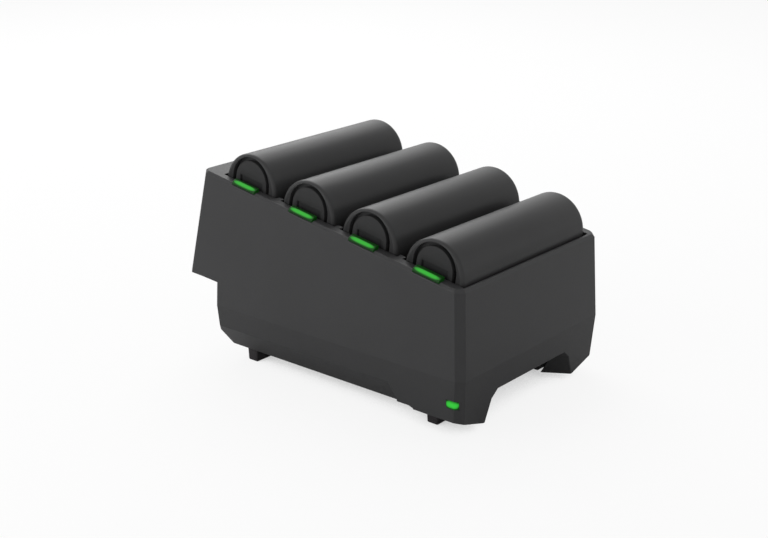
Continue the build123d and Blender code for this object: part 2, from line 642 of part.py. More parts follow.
def pack_end_groove():
    """Arched groove round the thumb tab, drawn from the pack's axis."""
    outer, inner = (GROOVE_RADIUS + side * GROOVE_WIDTH / 2 for side in (1, -1))

    def arch(radius):
        return Circle(radius) + Pos(0, -GROOVE_FOOT / 2) * Rectangle(2 * radius, GROOVE_FOOT)
    ring = (arch(outer) - arch(inner)) & Pos(0, outer / 2 - GROOVE_FOOT / 2) * Rectangle(
        2 * outer, outer + GROOVE_FOOT)
    return Pos(0, GROOVE_RISE) * ring


def pack(number):
    """Sealed cylindrical pack: grooved end with a thumb pocket, and a flat for its pads."""
    body = extrude(Plane.XZ * Circle(PACK_RADIUS), amount=PACK_LENGTH / 2, both=True)
    body = fillet(body.edges().filter_by(GeomType.CIRCLE).sort_by(Axis.Y)[0], PACK_NEAR_ROUND)
    body = fillet(body.edges().filter_by(GeomType.CIRCLE).sort_by(Axis.Y)[-1], PACK_FAR_ROUND)
    end = Plane((0, -PACK_LENGTH / 2, 0), x_dir=(1, 0, 0), z_dir=(0, -1, 0))
    body -= extrude(end * pack_end_groove(), amount=-GROOVE_DEPTH)
    top, low = GROOVE_RISE + POCKET_TOP, GROOVE_RISE - POCKET_FOOT
    end_y = -PACK_LENGTH / 2
    body -= box_between(
        (-POCKET_HALF_WIDTH, end_y - WALL, low), (POCKET_HALF_WIDTH, end_y + POCKET_DEPTH, top))
    half = CONTACT_FLAT_LENGTH / 2
    body -= box_between(
        (-PACK_RADIUS, CONTACT_Y - half, -2 * PACK_RADIUS), (PACK_RADIUS, CONTACT_Y + half, -CONTACT_FLAT))
    return DECK * Pos(bay_s(number), 0, -PACK_SINK) * body


def contact_places(number):
    """Places of one pack's contacts along the deck."""
    first = bay_s(number) - (CONTACT_COUNT - 1) * CONTACT_PITCH / 2
    return [first + k * CONTACT_PITCH for k in range(CONTACT_COUNT)]


def pack_pads(number):
    """Gold-coloured pads under one pack."""
    half = PAD_LENGTH / 2
    return [DECK * box_between(
        (s - PAD_WIDTH / 2, CONTACT_Y - half, PAD_BOTTOM),
        (s + PAD_WIDTH / 2, CONTACT_Y + half, PAD_BOTTOM + PAD_THICKNESS)) for s in contact_places(number)]


def contact_block(number):
    """Moulded block that carries one bay's springs, standing on the charging board."""
    return contact_room(number, 0, CHARGE_TOP, BLOCK_TOP)


def contact_springs(number):
    """Bowed contact springs on top of one block."""
    reach, rise, thick = SPRING_LENGTH / 2, SPRING_RISE, SPRING_THICKNESS
    outline = [
        (-reach, 0), (-SPRING_CROWN, rise), (SPRING_CROWN, rise), (reach, 0),
        (reach - 2 * thick, 0), (SPRING_CROWN - thick, rise - thick),
        (thick - SPRING_CROWN, rise - thick), (2 * thick - reach, 0)]
    points = [(CONTACT_Y + y, BLOCK_TOP + z) for y, z in outline]
    half = SPRING_WIDTH / 2
    return [DECK * across_x(points, s - half, s + half) for s in contact_places(number)]


# Boards and what they carry

def charge_board():
    """Tilted board under the bays, with holes for its screws and for the posts."""
    s_from, s_to = bay_s(1) - CHARGE_BOARD_EDGE, bay_s(BAY_COUNT) + CHARGE_BOARD_EDGE
    half = HALF - CHARGE_BOARD_GAP
    board = DECK * box_between((s_from, -half, CHARGE_BOTTOM), (s_to, half, CHARGE_TOP))
    for s, y in charge_standoffs():
        board -= DECK * Pos(s, y, CHARGE_TOP) * Cylinder(BOARD_SCREW_RADIUS + HOLE_GAP, 3 * BOARD_THICKNESS)
    for x, y in housing_screw_places():
        board -= post(x, y, SEAM_HEIGHT, deck_z(x), POST_RADIUS + POST_GAP)
    return board


def board_support_places():
    """Places of the power board's screws on the floor plan."""
    x_from, x_to, _ = power_board_ends()
    inset = 2 * STANDOFF_RADIUS
    return [(x_from + inset, 0), (x_to - inset, -COIL_PITCH), (x_to - inset, COIL_PITCH)]


def power_board_ends():
    """Ends and half width of the power board."""
    foot_y = side_y(BASE_CLEARANCE, BAND_INSET)
    x_from = high_inner_x(POWER_BOTTOM) + POWER_BOARD_GAP
    return x_from, X_LOW - ARCH_DEPTH - WALL - POWER_BOARD_GAP, foot_y - POWER_BOARD_GAP


def power_board():
    """Board in the tray, with an arm beside the arch for the power light's lamp."""
    x_from, x_to, half = power_board_ends()
    board = box_between((x_from, -half, POWER_BOTTOM), (x_to, half, POWER_TOP))
    mouth = X_LOW - FUNNEL_DEPTH - 2 * WALL
    arm = -(CHAMBER_HALF_WIDTH + WALL + POWER_ARM_GAP)
    board += box_between((x_to - WALL, -half, POWER_BOTTOM), (mouth, arm, POWER_TOP))
    board += box_between(
        (mouth - WALL, -half, POWER_BOTTOM), (X_LOW - POWER_ARM_INSET, POWER_TIP_WIDTH - half, POWER_TOP))
    for x, y in housing_screw_places():
        board -= post(x, y, FLOOR_Z, SEAM_HEIGHT, POST_RADIUS + POST_GAP)
    for x, y in board_support_places():
        board -= post(x, y, FLOOR_Z, SEAM_HEIGHT, BOARD_SCREW_RADIUS + HOLE_GAP)
    return board


def lamps():
    """Four lamps under the light bars and one under the power light."""
    half = LAMP_SIZE / 2
    row = [DECK * box_between(
        (bay_s(n) - half, LAMP_Y - half, CHARGE_TOP),
        (bay_s(n) + half, LAMP_Y + half, LAMP_TOP)) for n in BAYS]
    x, y = power_lamp_place()
    row.append(box_between((x - half, y - half, POWER_TOP), (x + half, y + half, POWER_TOP + LAMP_HEIGHT)))
    return row


def charge_chips():
    """One charging chip under the board for each bay."""
    half = CHIP_SIZE / 2
    return [DECK * box_between(
        (bay_s(n) - half, CHIP_Y - half, CHARGE_BOTTOM - CHIP_HEIGHT),
        (bay_s(n) + half, CHIP_Y + half, CHARGE_BOTTOM)) for n in BAYS]


def coils():
    """One power coil for each bay, in a row on the power board."""
    x_from = power_board_ends()[0] + COIL_PITCH / 2
    middle = POWER_TOP + COIL_HEIGHT / 2
    ring = Cylinder(COIL_RADIUS, COIL_HEIGHT) - Cylinder(COIL_HOLE, COIL_HEIGHT)
    return [Pos(x_from + k * COIL_PITCH, COIL_Y, middle) * ring for k in range(BAY_COUNT)]


def charge_bottom_z(x):
    """Height of the charging board's lower face over a place on the floor plan."""
    return LOW_RIM_HEIGHT + (CHARGE_BOTTOM - (x - RIM_X) * sin(TILT)) / cos(TILT)


def ribbon_cable():
    """Folded ribbon between the two boards, with a plug at each end."""
    low, high = POWER_TOP + PLUG_HEIGHT, charge_bottom_z(RIBBON_X) - PLUG_HEIGHT
    rise = (high - low) / 4
    path = [(0, low), (-RIBBON_FOLD, low + rise), (RIBBON_FOLD, high - rise), (0, high)]
    half = RIBBON_THICKNESS / 2
    points = [(RIBBON_X + x - half, z) for x, z in path] + [(RIBBON_X + x + half, z) for x, z in path[::-1]]
    strip = Pos(0, RIBBON_Y, 0) * across_y(points, RIBBON_WIDTH / 2)
    wide = RIBBON_WIDTH / 2 + PLUG_OVERHANG
    thick = PLUG_THICKNESS / 2
    plugs = [
        box_between((RIBBON_X - thick, RIBBON_Y - wide, POWER_TOP), (RIBBON_X + thick, RIBBON_Y + wide, low)),
        box_between(
            (RIBBON_X - thick, RIBBON_Y - wide, high),
            (RIBBON_X + thick, RIBBON_Y + wide, charge_bottom_z(RIBBON_X - thick)))]
    board = DECK * box_between(
        (-2 * BODY_LENGTH, -BODY_DEPTH, CHARGE_BOTTOM), (BODY_LENGTH, BODY_DEPTH, 0))
    return strip + plugs[0] + (plugs[1] - board)


def power_jack():
    """Power inlet: body on the board, barrel through the wall and a centre pin."""
    wall = high_x(JACK_Z)
    inner = high_inner_x(POWER_TOP) + JACK_GAP
    body = box_between(
        (inner, JACK_Y - JACK_BODY_WIDTH / 2, POWER_TOP),
        (inner + JACK_BODY_LENGTH, JACK_Y + JACK_BODY_WIDTH / 2, POWER_TOP + JACK_BODY_HEIGHT))
    mouth = Plane((wall + JACK_RECESS, JACK_Y, JACK_Z), z_dir=(1, 0, 0))
    body += extrude(mouth * Circle(JACK_BARREL_RADIUS), amount=inner - wall)
    body -= extrude(mouth * Circle(JACK_BORE_RADIUS), amount=JACK_BORE_DEPTH)
    pin = mouth.offset(JACK_BORE_DEPTH - JACK_PIN_LENGTH) * Circle(JACK_PIN_RADIUS)
    return body + extrude(pin, amount=JACK_PIN_LENGTH)


def screw(radius, length, head_radius, head_height):
    """Screw pointing up, its head's bearing face at zero, with a cross drive."""
    shank = Pos(0, 0, length / 2) * Cylinder(radius, length)
    head = Pos(0, 0, -head_height / 2) * Cylinder(head_radius, head_height)
    slot = Pos(0, 0, DRIVE_DEPTH / 2 - head_height)
    reach = 1.2 * head_radius
    drive = slot * (Box(reach, DRIVE_WIDTH, DRIVE_DEPTH) + Box(DRIVE_WIDTH, reach, DRIVE_DEPTH))
    return shank + head - drive


def housing_screws():
    """The four screws that hold the housings together, from below."""
    one = screw(SCREW_RADIUS, SCREW_LENGTH, SCREW_HEAD_RADIUS, SCREW_HEAD_HEIGHT)
    return [Pos(x, y, SCREW_SEAT) * one for x, y in housing_screw_places()]


def board_screws():
    """Screws of the charging board, from below, and of the power board, from above."""
    one = screw(BOARD_SCREW_RADIUS, BOARD_SCREW_LENGTH, BOARD_SCREW_HEAD_RADIUS, BOARD_SCREW_HEAD_HEIGHT)
    row = [DECK * Pos(s, y, CHARGE_BOTTOM) * one for s, y in charge_standoffs()]
    return row + [Pos(x, y, POWER_TOP) * Rot(180, 0, 0) * one for x, y in board_support_places()]


def save(name, solids):
    """Writes one piece, or one group of separate solids."""
    export_step(Compound(children=solids) if isinstance(solids, list) else solids, f"parts/{name}.step")


os.makedirs("parts", exist_ok=True)
save("upper_housing", upper_housing())
save("lower_housing", lower_housing())
for index, (foot_x, foot_y) in enumerate(foot_places(), 1):
    save(f"foot_{index}", Pos(foot_x, foot_y, 0) * foot())
for bay in BAYS:
    save(f"battery_{bay}", pack(bay))
    save(f"battery_{bay}_contacts", pack_pads(bay))
    save(f"contact_block_{bay}", contact_block(bay))
    save(f"contact_springs_{bay}", contact_springs(bay))
    save(f"light_bar_{bay}", bar_form(bay, 0))
save("power_light", power_light())
save("charge_board", charge_board())
save("power_board", power_board())
save("lamps", lamps())
save("charge_chips", charge_chips())
save("coils", coils())
save("ribbon_cable", ribbon_cable())
save("power_jack", power_jack())
save("housing_screws", housing_screws())
save("board_screws", board_screws())
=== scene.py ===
import bpy
from math import cos, radians, sin, tan
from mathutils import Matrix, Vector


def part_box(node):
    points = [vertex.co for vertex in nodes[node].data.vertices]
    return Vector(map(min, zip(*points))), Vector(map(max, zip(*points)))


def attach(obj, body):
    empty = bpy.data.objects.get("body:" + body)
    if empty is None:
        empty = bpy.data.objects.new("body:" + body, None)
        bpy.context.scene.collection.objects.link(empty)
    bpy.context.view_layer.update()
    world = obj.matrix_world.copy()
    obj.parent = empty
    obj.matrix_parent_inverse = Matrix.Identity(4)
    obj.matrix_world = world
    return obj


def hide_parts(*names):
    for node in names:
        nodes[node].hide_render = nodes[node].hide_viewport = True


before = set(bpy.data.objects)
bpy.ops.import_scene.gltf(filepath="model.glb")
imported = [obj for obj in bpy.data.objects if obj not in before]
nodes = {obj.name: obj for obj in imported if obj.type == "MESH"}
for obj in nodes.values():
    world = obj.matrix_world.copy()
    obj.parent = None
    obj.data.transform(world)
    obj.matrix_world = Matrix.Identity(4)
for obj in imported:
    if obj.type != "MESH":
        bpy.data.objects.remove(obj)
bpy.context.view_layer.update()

# Camera
# Set where the photograph was taken from: off the low end's corner, looking down a little.
look_down, look_round = 19.25, 39.85
bpy.ops.object.select_all(action="DESELECT")
bpy.ops.object.camera_add(
    location=(0.35795, -0.4330, 0.2379), rotation=(radians(90 - look_down), 0, radians(look_round)))
camera = bpy.context.object
camera.name = "camera"
camera.data.sensor_width = 36
camera.data.lens = 65.29
bpy.context.scene.camera = camera
bpy.context.scene.view_settings.view_transform = "Standard"

# Table
# A pale sheet of paper that the charger stands on, with its soft shadow.
# Seen directly it is lifted to the white of the background; close under the charger an ambient-occlusion mask
# weakens that lift, which is a painted contact shadow.
lifted_share, shadow_reach = 0.88, 0.05
bpy.ops.object.select_all(action="DESELECT")
bpy.ops.mesh.primitive_plane_add(size=6, location=(0, 0, 0))
table = bpy.context.object
table.name = "table_paper"
paper = bpy.data.materials.new("table_paper")
paper.use_nodes = True
tree = paper.node_tree
sheet = tree.nodes["Principled BSDF"]
sheet.inputs["Base Color"].default_value = (0.86, 0.86, 0.86, 1)
sheet.inputs["Roughness"].default_value = 0.9
sheet.inputs["Specular IOR Level"].default_value = 0.1
lift = tree.nodes.new("ShaderNodeEmission")
lift.inputs["Color"].default_value = (1, 1, 1, 1)
rays = tree.nodes.new("ShaderNodeLightPath")
share = tree.nodes.new("ShaderNodeMath")
share.operation = "MULTIPLY"
share.inputs[1].default_value = lifted_share
# Painted contact shadow: the occlusion mask dims the white lift close under the charger.
under = tree.nodes.new("ShaderNodeAmbientOcclusion")
under.samples = 8
under.inputs["Distance"].default_value = shadow_reach
contact = tree.nodes.new("ShaderNodeMapRange")
contact.inputs["From Min"].default_value = 0.08
contact.inputs["From Max"].default_value = 0.15
contact.inputs["To Min"].default_value = 0.46
contact.inputs["To Max"].default_value = 1.0
tree.links.new(under.outputs["AO"], contact.inputs["Value"])
tree.links.new(contact.outputs["Result"], lift.inputs["Strength"])
mix = tree.nodes.new("ShaderNodeMixShader")
tree.links.new(rays.outputs["Is Camera Ray"], share.inputs[0])
tree.links.new(share.outputs[0], mix.inputs["Fac"])
tree.links.new(sheet.outputs["BSDF"], mix.inputs[1])
tree.links.new(lift.outputs["Emission"], mix.inputs[2])
tree.links.new(mix.outputs["Shader"], tree.nodes["Material Output"].inputs["Surface"])
table.data.materials.append(paper)

# Room
# A pale studio room round the table, a little darker beyond the low end.
# The camera, gloss and clear plastic see it as the white backdrop.
room_light, dim_side = 0.56, 0.36
world = bpy.data.worlds.new("studio_room")
bpy.context.scene.world = world
world.use_nodes = True
tree = world.node_tree
room = tree.nodes["Background"]
room.inputs["Color"].default_value = (1, 1, 1, 1)
direction = tree.nodes.new("ShaderNodeTexCoord")
split = tree.nodes.new("ShaderNodeSeparateXYZ")
falloff = tree.nodes.new("ShaderNodeMapRange")
falloff.inputs["From Min"].default_value = -1
falloff.inputs["From Max"].default_value = 1
falloff.inputs["To Min"].default_value = room_light
falloff.inputs["To Max"].default_value = dim_side
backdrop = tree.nodes.new("ShaderNodeBackground")
backdrop.inputs["Color"].default_value = (1, 1, 1, 1)
backdrop.inputs["Strength"].default_value = 1.0
rays = tree.nodes.new("ShaderNodeLightPath")
mirrored = tree.nodes.new("ShaderNodeMath")
seen = tree.nodes.new("ShaderNodeMath")
for join in (mirrored, seen):
    join.operation = "MAXIMUM"
mix = tree.nodes.new("ShaderNodeMixShader")
tree.links.new(direction.outputs["Generated"], split.inputs["Vector"])
tree.links.new(split.outputs["X"], falloff.inputs["Value"])
tree.links.new(falloff.outputs["Result"], room.inputs["Strength"])
tree.links.new(rays.outputs["Is Glossy Ray"], mirrored.inputs[0])
tree.links.new(rays.outputs["Is Transmission Ray"], mirrored.inputs[1])
tree.links.new(rays.outputs["Is Camera Ray"], seen.inputs[0])
tree.links.new(mirrored.outputs[0], seen.inputs[1])
tree.links.new(seen.outputs[0], mix.inputs["Fac"])
tree.links.new(room.outputs["Background"], mix.inputs[1])
tree.links.new(backdrop.outputs["Background"], mix.inputs[2])
tree.links.new(mix.outputs["Shader"], tree.nodes["World Output"].inputs["Surface"])

# Soft boxes
# Three of them: a broad one above and behind the high end, one in front to the left,
# and a weak one behind to the right that lights the low end past the packs.
for name, place, turn, size, power in (
        ("top_soft_box", (-0.55, 0.40, 0.75), (-30, -34, 0), 0.9, 6.6),
        ("front_soft_box", (-0.35, -0.90, 0.40), (68, 0, -21), 0.8, 3.6),
        ("side_soft_box", (0.80, 0.45, 0.25), (76, 0, 119), 0.7, 0.8)):
    bpy.ops.object.light_add(type="AREA", location=place, rotation=[radians(angle) for angle in turn])
    lamp = bpy.context.object
    lamp.name = name
    lamp.data.size = size
    lamp.data.energy = power


# Lower housing
# A tray moulded in charcoal ABS with a fine spark-eroded surface, standing on two legs at the low end.
# The arch between the legs lets cables through; the mould leaves every outer edge slightly rounded.
def blank_finish(name):
    """A new material: itself, its nodes, its shader and the piece's own coordinates."""
    finish = bpy.data.materials.new(name)
    finish.use_nodes = True
    tree = finish.node_tree
    place = tree.nodes.new("ShaderNodeTexCoord")
    return finish, tree, tree.nodes["Principled BSDF"], place.outputs["Object"]


def speckle(tree, place, scale, detail):
    """Noise of a given fineness."""
    node = tree.nodes.new("ShaderNodeTexNoise")
    node.inputs["Scale"].default_value = scale
    node.inputs["Detail"].default_value = detail
    tree.links.new(place, node.inputs["Vector"])
    return node.outputs["Fac"]


def remap(tree, value, *limits):
    """Carries a value from one range to another: lowest, highest, new lowest, new highest."""
    node = tree.nodes.new("ShaderNodeMapRange")
    for socket, limit in zip(("From Min", "From Max", "To Min", "To Max"), limits):
        node.inputs[socket].default_value = limit
    tree.links.new(value, node.inputs["Value"])
    return node.outputs["Result"]


def reckon(tree, operation, first, second):
    """Works out a sum from two values; the second one may be a plain number."""
    node = tree.nodes.new("ShaderNodeMath")
    node.operation = operation
    tree.links.new(first, node.inputs[0])
    if isinstance(second, (int, float)):
        node.inputs[1].default_value = second
    else:
        tree.links.new(second, node.inputs[1])
    return node.outputs[0]


def tones(tree, value, *steps):
    """Colours along a value, each step a place from 0 to 1 and its colour."""
    node = tree.nodes.new("ShaderNodeValToRGB")
    ramp = node.color_ramp
    while len(ramp.elements) < len(steps):
        ramp.elements.new(0.5)
    for element, (position, colour) in zip(ramp.elements, steps):
        element.position = position
        element.color = (*colour, 1)
    tree.links.new(value, node.inputs["Fac"])
    return node.outputs["Color"]


def relief(tree, height, depth, strength=0.35):
    """Raises or sinks the surface by a pattern."""
    node = tree.nodes.new("ShaderNodeBump")
    node.inputs["Strength"].default_value = strength
    node.inputs["Distance"].default_value = depth
    tree.links.new(height, node.inputs["Height"])
    return node.outputs["Normal"]


def moulded_plastic(name, colour, roughness, grain, depth, specular=0.3):
    """Moulded plastic: a fine grain, a little mottling in tone and patches of different gloss."""
    finish, tree, shader, place = blank_finish(name)
    shader.inputs["Specular IOR Level"].default_value = specular
    fine = speckle(tree, place, grain, 4)
    broad = speckle(tree, place, 22, 3)
    colours = tones(tree, broad, (0.3, [c * 0.93 for c in colour]), (0.7, [c * 1.07 for c in colour]))
    gloss = remap(tree, reckon(tree, "MULTIPLY", fine, broad), 0.1, 0.4, roughness - 0.05, roughness + 0.05)
    tree.links.new(colours, shader.inputs["Base Color"])
    tree.links.new(gloss, shader.inputs["Roughness"])
    tree.links.new(relief(tree, fine, depth), shader.inputs["Normal"])
    return finish


def dress(piece, finish):
    """Gives a piece its finish in place of the plain one it came with."""
    piece.data.materials.clear()
    piece.data.materials.append(finish)


def welded_copy(node, name, cut=False):
    """A copy of a moulding, welded from its loose triangles into whole faces.

    Walls with holes in them are cut into triangles again, because their edges only round cleanly that way.
    """
    piece = bpy.data.objects.new(name, nodes[node].data.copy())
    bpy.context.scene.collection.objects.link(piece)
    bpy.ops.object.select_all(action="DESELECT")
    piece.select_set(True)
    bpy.context.view_layer.objects.active = piece
    if piece.data.has_custom_normals:
        bpy.ops.mesh.customdata_custom_splitnormals_clear()
    bpy.ops.object.mode_set(mode="EDIT")
    bpy.ops.mesh.select_all(action="SELECT")
    bpy.ops.mesh.remove_doubles(threshold=0.000002)
    bpy.ops.mesh.dissolve_limited(angle_limit=radians(0.4))
    if cut:
        bpy.ops.mesh.quads_convert_to_tris()
    bpy.ops.mesh.normals_make_consistent(inside=False)
    bpy.ops.object.mode_set(mode="OBJECT")
    return piece


def even_walls(piece):
    """Lets the large faces lead the shading, so that flat walls look flat up to their rounded edges."""
    bpy.ops.object.modifier_add(type="WEIGHTED_NORMAL")
    shading = piece.modifiers[-1]
    shading.keep_sharp = True
    shading.weight = 100
    bpy.ops.object.modifier_apply(modifier=shading.name)


def round_edges(piece, wanted, width, steps, sharpness=25):
    """Rounds those sharp edges whose two ends are both wanted."""
    bpy.ops.object.select_all(action="DESELECT")
    piece.select_set(True)
    bpy.context.view_layer.objects.active = piece
    bpy.ops.object.mode_set(mode="EDIT")
    bpy.ops.mesh.select_mode(type="EDGE")
    bpy.ops.mesh.select_all(action="DESELECT")
    bpy.ops.mesh.edges_select_sharp(sharpness=radians(sharpness))
    bpy.ops.object.mode_set(mode="OBJECT")
    mesh = piece.data
    inside = [wanted(*vertex.co) for vertex in mesh.vertices]
    sharp = [edge.select and inside[edge.vertices[0]] and inside[edge.vertices[1]] for edge in mesh.edges]
    for part in (mesh.vertices, mesh.polygons):
        part.foreach_set("select", [False] * len(part))
    mesh.edges.foreach_set("select", sharp)
    bpy.ops.object.mode_set(mode="EDIT")
    bpy.ops.mesh.bevel(offset=width, segments=steps, affect="EDGES", clamp_overlap=False)
    bpy.ops.object.mode_set(mode="OBJECT")
    bpy.ops.object.shade_smooth_by_angle(angle=radians(35))
    even_walls(piece)


low_end, high_end, half_depth, seam, slack = 0.07475, -0.05925, 0.0488, 0.0258, 0.0002
lower_draft, high_end_lean = tan(radians(3.8)), 0.0022
undercut_top, undercut_slope, underside = 0.0164, 0.65, 0.0081
arch_length, arch_half, arch_top = 0.0301, 0.0293, 0.0156


def on_lower_outside(x, y, z):
    """True on the walls, the undercut, the underside, the legs and the arch."""
    below = seam - z
    side = half_depth - below * lower_draft
    if z < undercut_top:
        side -= (undercut_top - z) * undercut_slope
    wall = abs(y) > side - slack or x > low_end - below * lower_draft - slack or x < high_end + high_end_lean
    arch = x > low_end - arch_length and abs(y) < arch_half and z < arch_top
    return z < underside or (z < seam - slack / 2 and (wall or arch))


edge_rounding = 0.00025
lower = welded_copy("lower_housing", "lower_shell", cut=True)
round_edges(lower, on_lower_outside, edge_rounding, 2)
dress(lower, moulded_plastic("charcoal_lower", (0.0345, 0.0345, 0.0355), 0.55, 1800, 0.00010, 0.25))
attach(lower, "charger")
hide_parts("lower_housing")

# Feet
# Four dark rubber pads pushed into pockets in the underside.
# Each narrows a little towards the table and has a soft lower edge.
sole_height, sole_rounding = 0.001, 0.0006
foot_rubber = moulded_plastic("foot_rubber", (0.026, 0.023, 0.025), 0.75, 900, 0.0002)
for number in range(1, 5):
    pad = welded_copy(f"foot_{number}", f"rubber_foot_{number}")
    round_edges(pad, lambda x, y, z: z < sole_height, sole_rounding, 3)
    dress(pad, foot_rubber)
    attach(pad, "charger")
    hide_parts(f"foot_{number}")


# Power board
# Glass-fibre laminate with copper tracks under a green lacquer, cut by a router.
# It lies on posts in the tray, and one arm runs past the arch to the power light.
def lacquered_board(name, lean):
    """Green lacquer over tracks: they show through as lighter lines that stand up a little."""
    finish, tree, shader, place = blank_finish(name)
    level = tree.nodes.new("ShaderNodeMapping")
    level.vector_type = "TEXTURE"
    level.inputs["Rotation"].default_value = (0, lean, 0)
    tree.links.new(place, level.inputs["Vector"])
    tracks = tree.nodes.new("ShaderNodeTexBrick")
    tracks.inputs["Color1"].default_value = (0.010, 0.110, 0.040, 1)
    tracks.inputs["Color2"].default_value = (0.014, 0.130, 0.048, 1)
    tracks.inputs["Mortar"].default_value = (0.030, 0.230, 0.090, 1)
    tracks.inputs["Scale"].default_value = 1
    tracks.inputs["Brick Width"].default_value = 0.0090
    tracks.inputs["Row Height"].default_value = 0.0016
    tracks.inputs["Mortar Size"].default_value = 0.00018
    tree.links.new(level.outputs["Vector"], tracks.inputs["Vector"])
    gloss = remap(tree, speckle(tree, place, 90, 3), 0.3, 0.7, 0.22, 0.38)
    tree.links.new(tracks.outputs["Color"], shader.inputs["Base Color"])
    tree.links.new(gloss, shader.inputs["Roughness"])
    tree.links.new(relief(tree, tracks.outputs["Fac"], 0.00004), shader.inputs["Normal"])
    return finish


dress(nodes["power_board"], lacquered_board("power_board_green", 0))

# Coils
# Four sintered ferrite drums glued and soldered to the power board, one for each bay.
# Their surface is matte, dark and slightly pitted.
dress(nodes["coils"], moulded_plastic("pressed_ferrite", (0.075, 0.075, 0.080), 0.7, 1400, 0.0002))


# Power inlet
# A black moulded inlet soldered to the power board, its barrel in a hole of the high end wall.
# The nickel-plated centre pin is turned from brass and has a rounded tip.
def plated_metal(name, colour, roughness, tarnish):
    """Plated metal: bright and dull patches with fine scratches."""
    finish, tree, shader, place = blank_finish(name)
    shader.inputs["Metallic"].default_value = 1
    patches = speckle(tree, place, 260, 4)
    scratches = speckle(tree, place, 5200, 2)
    colours = tones(tree, patches, (0.3, [c * tarnish for c in colour]), (0.65, colour))
    tree.links.new(colours, shader.inputs["Base Color"])
    tree.links.new(remap(tree, patches, 0.3, 0.7, roughness + 0.12, roughness - 0.04), shader.inputs["Roughness"])
    tree.links.new(relief(tree, scratches, 0.00002), shader.inputs["Normal"])
    return finish


def move_in_place(piece, place, turn=(0, 0, 0)):
    """Carries a piece to its place, and keeps that place in its mesh."""
    piece.location = place
    piece.rotation_euler = turn
    bpy.ops.object.select_all(action="DESELECT")
    piece.select_set(True)
    bpy.context.view_layer.objects.active = piece
    bpy.ops.object.transform_apply(location=True, rotation=True, scale=True)


def select_near(piece, kind, wanted):
    """Selects faces or edges by the place of their corners, and opens the piece for editing."""
    bpy.ops.object.select_all(action="DESELECT")
    piece.select_set(True)
    bpy.context.view_layer.objects.active = piece
    bpy.ops.object.mode_set(mode="EDIT")
    bpy.ops.mesh.select_mode(type=kind)
    bpy.ops.mesh.select_all(action="DESELECT")
    bpy.ops.object.mode_set(mode="OBJECT")
    mesh = piece.data
    parts = mesh.edges if kind == "EDGE" else mesh.polygons
    parts.foreach_set("select", [all(wanted(*mesh.vertices[v].co) for v in part.vertices) for part in parts])
    bpy.ops.object.mode_set(mode="EDIT")


dress(nodes["power_jack"], moulded_plastic("inlet_plastic", (0.012, 0.012, 0.012), 0.32, 1500, 0.00005))
pin_root, pin_tip, pin_y, pin_z, pin_radius, tip_rounding = -0.0487, -0.0572, 0.024, 0.0179, 0.00103, 0.0007
bpy.ops.object.select_all(action="DESELECT")
bpy.ops.mesh.primitive_cylinder_add(vertices=32, radius=pin_radius, depth=pin_root - pin_tip)
pin = bpy.context.object
pin.name = "inlet_pin"
move_in_place(pin, ((pin_root + pin_tip) / 2, pin_y, pin_z), (0, radians(90), 0))
select_near(pin, "EDGE", lambda x, y, z: x < pin_tip + 0.00001)
bpy.ops.mesh.bevel(offset=tip_rounding, segments=6, affect="EDGES")
bpy.ops.object.mode_set(mode="OBJECT")
bpy.ops.object.shade_smooth_by_angle(angle=radians(35))
dress(pin, plated_metal("nickel_plate", (0.62, 0.60, 0.57), 0.22, 0.8))
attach(pin, "charger")


# Power light
# A clear green moulding with its own pipe, pushed from inside through a window at the low end corner.
# The lamp under its pipe lights the middle of the front most, and its borders stay dark green.
def lit_plastic(name, core, border, centre, lean, reach):
    """Clear moulding lit from inside: bright within its reach and dark green beyond it."""
    finish, tree, shader, place = blank_finish(name)
    level = tree.nodes.new("ShaderNodeMapping")
    level.vector_type = "TEXTURE"
    level.inputs["Location"].default_value = centre
    level.inputs["Rotation"].default_value = (0, lean, 0)
    level.inputs["Scale"].default_value = reach
    tree.links.new(place, level.inputs["Vector"])
    split = tree.nodes.new("ShaderNodeSeparateXYZ")
    tree.links.new(level.outputs["Vector"], split.inputs["Vector"])
    along = reckon(tree, "POWER", reckon(tree, "POWER", split.outputs["X"], 2), 2)
    across = reckon(tree, "POWER", split.outputs["Y"], 2)
    upright = reckon(tree, "POWER", split.outputs["Z"], 2)
    distance = reckon(tree, "ADD", along, reckon(tree, "ADD", across, upright))
    cloud = reckon(tree, "MULTIPLY", speckle(tree, place, 900, 2), 0.3)
    glow = tones(tree, remap(tree, reckon(tree, "ADD", distance, cloud), 0.3, 1.9, 0, 1),
                 (0.0, core), (0.35, [c * 0.72 for c in core]), (0.75, border), (1.0, [c * 0.4 for c in border]))
    tree.links.new(glow, shader.inputs["Emission Color"])
    shader.inputs["Emission Strength"].default_value = 0.95
    shader.inputs["Base Color"].default_value = (0.004, 0.03, 0.004, 1)
    shader.inputs["Specular IOR Level"].default_value = 0.15
    shader.inputs["Roughness"].default_value = 0.45
    return finish


front_y, front_low, front_high, front_rounding = -0.0470, 0.0130, 0.0175, 0.0003
power_lens = welded_copy("power_light", "power_lens")
round_edges(power_lens, lambda x, y, z: y < front_y and front_low < z < front_high, front_rounding, 3)
dress(power_lens, lit_plastic(
    "power_green", (0.035, 0.58, 0.045), (0.0015, 0.060, 0.0015),
    (0.0702, -0.0482, 0.0159), 0, (0.0026, 0.0022, 0.0013)))
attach(power_lens, "charger")
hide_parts("power_light")

# Charging board
# The same lacquered laminate, screwed tilted under the bays.
# Under each bay it carries a charging chip in a black epoxy package.
tilt, rim_x, rim_z = radians(9.7), 0.072895, 0.0612
dress(nodes["charge_board"], lacquered_board("charge_board_green", tilt))
dress(nodes["charge_chips"], moulded_plastic("chip_epoxy", (0.016, 0.016, 0.017), 0.42, 2600, 0.00004))

# Indicator lamps
# Small surface-mounted lamps in white packages, four on the charging board and one on the power board.
# Each sits right under the foot of a light pipe.
dress(nodes["lamps"], moulded_plastic("lamp_body", (0.80, 0.80, 0.72), 0.3, 1200, 0.00003))

